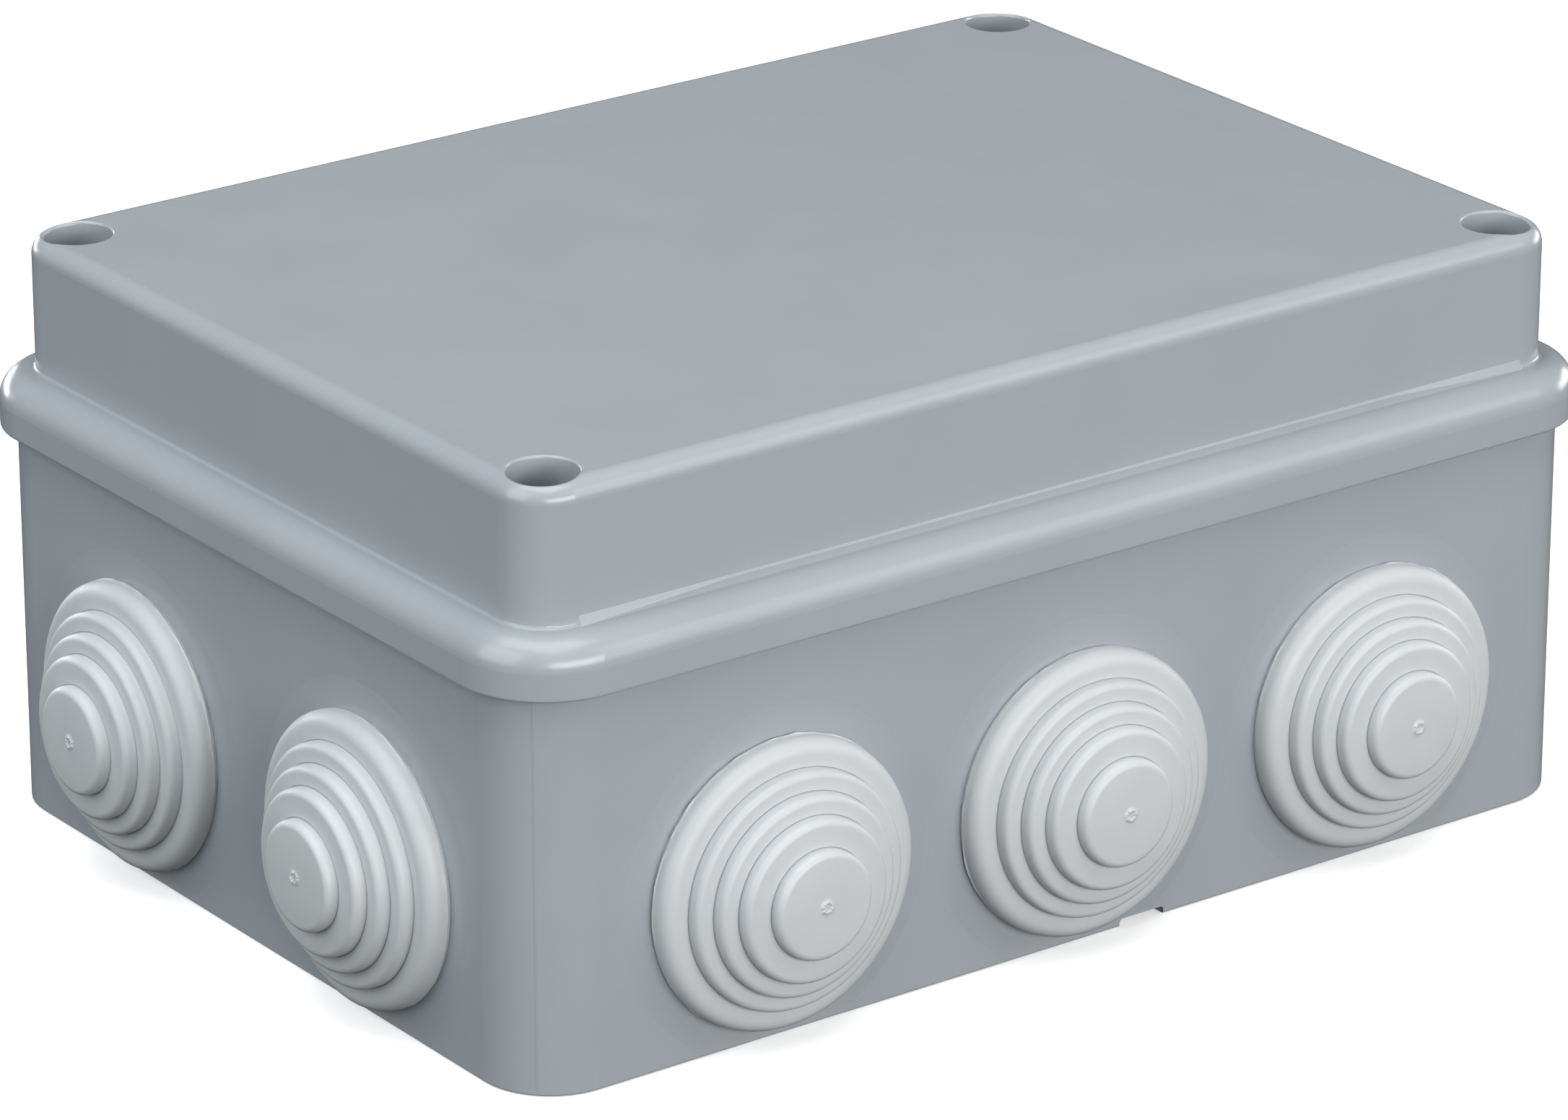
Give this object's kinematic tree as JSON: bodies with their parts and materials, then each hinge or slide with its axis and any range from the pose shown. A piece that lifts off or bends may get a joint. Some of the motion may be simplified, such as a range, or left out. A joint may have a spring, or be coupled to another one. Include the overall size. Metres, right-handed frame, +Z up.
{
  "type": "surface-mounted junction box",
  "caption": "Rectangular grey plastic junction box with lift-off screwed lid, foam seal, stepped soft cable grommets on every wall and a screw terminal strip inside.",
  "frame": {"origin": "centre of the base's flat underside", "axes": "+Z up out of the lid, +X along the long side, -Y is the front wall"},
  "size_m": [0.1694, 0.1296, 0.07],
  "materials": {
    "box_plastic": "moulded, satin, blue-grey",
    "grommet_rubber": "soft, pale grey, matt",
    "gasket_foam": "closed-cell foam, dark grey",
    "washer_rubber": "matt black",
    "plated_steel": "bright zinc plated",
    "terminal_plastic": "natural polyamide, slightly translucent",
    "terminal_brass": "turned",
    "clamp_steel": "yellow zinc plated"
  },
  "bodies": {
    "base": {"base_box": "box_plastic", "grommet_front_left": "grommet_rubber", "grommet_front_middle": "grommet_rubber", "grommet_front_right": "grommet_rubber", "grommet_rear_left": "grommet_rubber", "grommet_rear_middle": "grommet_rubber", "grommet_rear_right": "grommet_rubber", "grommet_left_front": "grommet_rubber", "grommet_left_rear": "grommet_rubber", "grommet_right_front": "grommet_rubber", "grommet_right_rear": "grommet_rubber", "terminal_strip": "terminal_plastic", "terminal_insert_1": "terminal_brass", "terminal_insert_2": "terminal_brass", "terminal_insert_3": "terminal_brass", "terminal_insert_4": "terminal_brass", "terminal_insert_5": "terminal_brass", "strip_fixing_screws": "plated_steel"},
    "lid": {"lid": "box_plastic", "lid_gasket": "gasket_foam"},
    "washer_front_left": {"screw_washer_front_left": "washer_rubber"},
    "screw_front_left": {"lid_screw_front_left": "plated_steel"},
    "washer_front_right": {"screw_washer_front_right": "washer_rubber"},
    "screw_front_right": {"lid_screw_front_right": "plated_steel"},
    "washer_rear_left": {"screw_washer_rear_left": "washer_rubber"},
    "screw_rear_left": {"lid_screw_rear_left": "plated_steel"},
    "washer_rear_right": {"screw_washer_rear_right": "washer_rubber"},
    "screw_rear_right": {"lid_screw_rear_right": "plated_steel"},
    "clamp_1_front": {"clamp_screw_1_front": "clamp_steel"},
    "clamp_1_rear": {"clamp_screw_1_rear": "clamp_steel"},
    "clamp_2_front": {"clamp_screw_2_front": "clamp_steel"},
    "clamp_2_rear": {"clamp_screw_2_rear": "clamp_steel"},
    "clamp_3_front": {"clamp_screw_3_front": "clamp_steel"},
    "clamp_3_rear": {"clamp_screw_3_rear": "clamp_steel"},
    "clamp_4_front": {"clamp_screw_4_front": "clamp_steel"},
    "clamp_4_rear": {"clamp_screw_4_rear": "clamp_steel"},
    "clamp_5_front": {"clamp_screw_5_front": "clamp_steel"},
    "clamp_5_rear": {"clamp_screw_5_rear": "clamp_steel"}
  },
  "joints": [
    {"name": "lid_lift", "type": "slide", "parent": "base", "child": "lid", "axis": [0, 0, 1], "range_m": [0, 0.06]},
    {"name": "rise_front_left", "type": "slide", "parent": "lid", "child": "washer_front_left", "axis": [0, 0, 1], "range_m": [0, 0.0126]},
    {"name": "turn_front_left", "type": "hinge", "parent": "washer_front_left", "child": "screw_front_left", "pos_m": [-0.0669, -0.0469, 0.054], "axis": [0, 0, 1], "range_deg": [0, 3245]},
    {"name": "rise_front_right", "type": "slide", "parent": "lid", "child": "washer_front_right", "axis": [0, 0, 1], "range_m": [0, 0.0126]},
    {"name": "turn_front_right", "type": "hinge", "parent": "washer_front_right", "child": "screw_front_right", "pos_m": [0.0669, -0.0469, 0.054], "axis": [0, 0, 1], "range_deg": [0, 3245]},
    {"name": "rise_rear_left", "type": "slide", "parent": "lid", "child": "washer_rear_left", "axis": [0, 0, 1], "range_m": [0, 0.0126]},
    {"name": "turn_rear_left", "type": "hinge", "parent": "washer_rear_left", "child": "screw_rear_left", "pos_m": [-0.0669, 0.0469, 0.054], "axis": [0, 0, 1], "range_deg": [0, 3245]},
    {"name": "rise_rear_right", "type": "slide", "parent": "lid", "child": "washer_rear_right", "axis": [0, 0, 1], "range_m": [0, 0.0126]},
    {"name": "turn_rear_right", "type": "hinge", "parent": "washer_rear_right", "child": "screw_rear_right", "pos_m": [0.0669, 0.0469, 0.054], "axis": [0, 0, 1], "range_deg": [0, 3245]},
    {"name": "clamp_turn_1_front", "type": "hinge", "parent": "base", "child": "clamp_1_front", "pos_m": [-0.022, -0.0046, 0.0135], "axis": [0, 0, 1], "range_deg": [0, 1080]},
    {"name": "clamp_turn_1_rear", "type": "hinge", "parent": "base", "child": "clamp_1_rear", "pos_m": [-0.022, 0.0046, 0.0135], "axis": [0, 0, 1], "range_deg": [0, 1080]},
    {"name": "clamp_turn_2_front", "type": "hinge", "parent": "base", "child": "clamp_2_front", "pos_m": [-0.011, -0.0046, 0.0135], "axis": [0, 0, 1], "range_deg": [0, 1080]},
    {"name": "clamp_turn_2_rear", "type": "hinge", "parent": "base", "child": "clamp_2_rear", "pos_m": [-0.011, 0.0046, 0.0135], "axis": [0, 0, 1], "range_deg": [0, 1080]},
    {"name": "clamp_turn_3_front", "type": "hinge", "parent": "base", "child": "clamp_3_front", "pos_m": [0, -0.0046, 0.0135], "axis": [0, 0, 1], "range_deg": [0, 1080]},
    {"name": "clamp_turn_3_rear", "type": "hinge", "parent": "base", "child": "clamp_3_rear", "pos_m": [0, 0.0046, 0.0135], "axis": [0, 0, 1], "range_deg": [0, 1080]},
    {"name": "clamp_turn_4_front", "type": "hinge", "parent": "base", "child": "clamp_4_front", "pos_m": [0.011, -0.0046, 0.0135], "axis": [0, 0, 1], "range_deg": [0, 1080]},
    {"name": "clamp_turn_4_rear", "type": "hinge", "parent": "base", "child": "clamp_4_rear", "pos_m": [0.011, 0.0046, 0.0135], "axis": [0, 0, 1], "range_deg": [0, 1080]},
    {"name": "clamp_turn_5_front", "type": "hinge", "parent": "base", "child": "clamp_5_front", "pos_m": [0.022, -0.0046, 0.0135], "axis": [0, 0, 1], "range_deg": [0, 1080]},
    {"name": "clamp_turn_5_rear", "type": "hinge", "parent": "base", "child": "clamp_5_rear", "pos_m": [0.022, 0.0046, 0.0135], "axis": [0, 0, 1], "range_deg": [0, 1080]}
  ],
  "couplings": [
    {"joint": "turn_front_left", "follows": "rise_front_left", "rad_per_m": 4488},
    {"joint": "turn_front_right", "follows": "rise_front_right", "rad_per_m": 4488},
    {"joint": "turn_rear_left", "follows": "rise_rear_left", "rad_per_m": 4488},
    {"joint": "turn_rear_right", "follows": "rise_rear_right", "rad_per_m": 4488}
  ]
}
